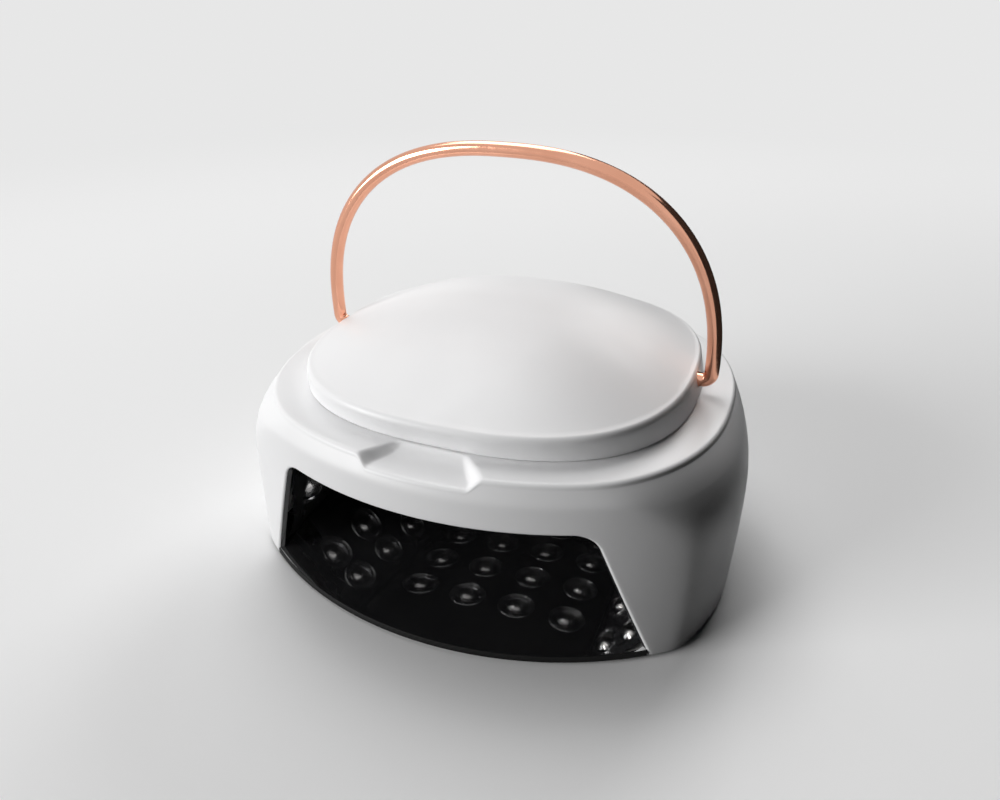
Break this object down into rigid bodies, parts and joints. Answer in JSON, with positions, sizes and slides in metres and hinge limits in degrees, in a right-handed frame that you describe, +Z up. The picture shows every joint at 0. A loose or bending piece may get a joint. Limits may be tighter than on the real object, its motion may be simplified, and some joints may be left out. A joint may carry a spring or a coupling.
{
  "type": "led nail lamp",
  "caption": "Rounded white nail-curing lamp with an arched hand opening, a black lens-lined tunnel, a metal carrying handle and a removable base plate.",
  "frame": {"origin": "on the surface that the lamp stands on, under the middle of the housing", "axes": "+X to the right of someone who faces the hand opening, -Y out of the hand opening, +Z up"},
  "size_m": [0.2298, 0.2009, 0.1877],
  "materials": {
    "white_plastic": "satin white moulded",
    "black_gloss": "gloss black",
    "plate_black": "mirror gloss black",
    "rose_metal": "polished rose plating",
    "lens_clear": "clear moulded",
    "grey_plastic": "moulded grey",
    "nylon": "natural nylon",
    "steel": "zinc plated",
    "magnet_nickel": "nickel plated",
    "board_green": "solder mask",
    "board_white": "white solder mask",
    "rubber_black": "matte rubber",
    "cell_wrap": "shrink sleeve over the can",
    "button_grey": "moulded grey",
    "socket_black": "moulded black"
  },
  "bodies": {
    "base": {"base_plate": "plate_black", "steel_disc_1": "steel", "steel_disc_2": "steel", "steel_disc_3": "steel", "steel_disc_4": "steel", "rubber_foot_1": "rubber_black", "rubber_foot_2": "rubber_black", "rubber_foot_3": "rubber_black", "rubber_foot_4": "rubber_black"},
    "housing": {"outer_shell": "white_plastic", "top_cover": "white_plastic", "handle_bracket_left": "steel", "handle_bracket_right": "steel", "deck_screw_1": "steel", "deck_screw_2": "steel", "deck_screw_3": "steel", "deck_screw_4": "steel", "bracket_screw_1": "steel", "bracket_screw_2": "steel", "bracket_screw_3": "steel", "bracket_screw_4": "steel", "handle_bush_left": "nylon", "handle_bush_right": "nylon", "deck_plate": "grey_plastic", "battery_holder": "grey_plastic", "port_panel": "grey_plastic", "magnet_1": "magnet_nickel", "magnet_2": "magnet_nickel", "magnet_3": "magnet_nickel", "magnet_4": "magnet_nickel", "inner_liner": "black_gloss", "hand_sensor_left": "black_gloss", "hand_sensor_right": "black_gloss", "led_lens_ceiling": "lens_clear", "led_lens_left": "lens_clear", "led_lens_right": "lens_clear", "led_lens_back": "lens_clear", "led_board_ceiling": "board_white", "led_board_left": "board_white", "led_board_right": "board_white", "led_board_back": "board_white", "battery_cell_1": "cell_wrap", "battery_cell_2": "cell_wrap", "battery_cell_3": "cell_wrap", "battery_cell_4": "cell_wrap", "main_board": "board_green", "port_board": "board_green", "power_switch": "socket_black", "timer_switch": "socket_black", "charging_socket": "socket_black"},
    "handle": {"handle": "rose_metal", "handle_clip_left": "steel", "handle_clip_right": "steel"},
    "power_button": {"power_button": "button_grey"},
    "timer_button": {"timer_button": "button_grey"}
  },
  "joints": [
    {"name": "housing_lift", "type": "slide", "parent": "base", "child": "housing", "axis": [0, 0, 1], "range_m": [0, 0.05]},
    {"name": "handle_hinge", "type": "hinge", "parent": "housing", "child": "handle", "pos_m": [0, 0.0034, 0.0925], "axis": [1, 0, 0], "range_deg": [-96, 87]},
    {"name": "power_press", "type": "slide", "parent": "housing", "child": "power_button", "axis": [0, -1, 0], "range_m": [0, 0.001], "stiffness_N_per_m": 1000},
    {"name": "timer_press", "type": "slide", "parent": "housing", "child": "timer_button", "axis": [0, -1, 0], "range_m": [0, 0.001], "stiffness_N_per_m": 1000}
  ]
}
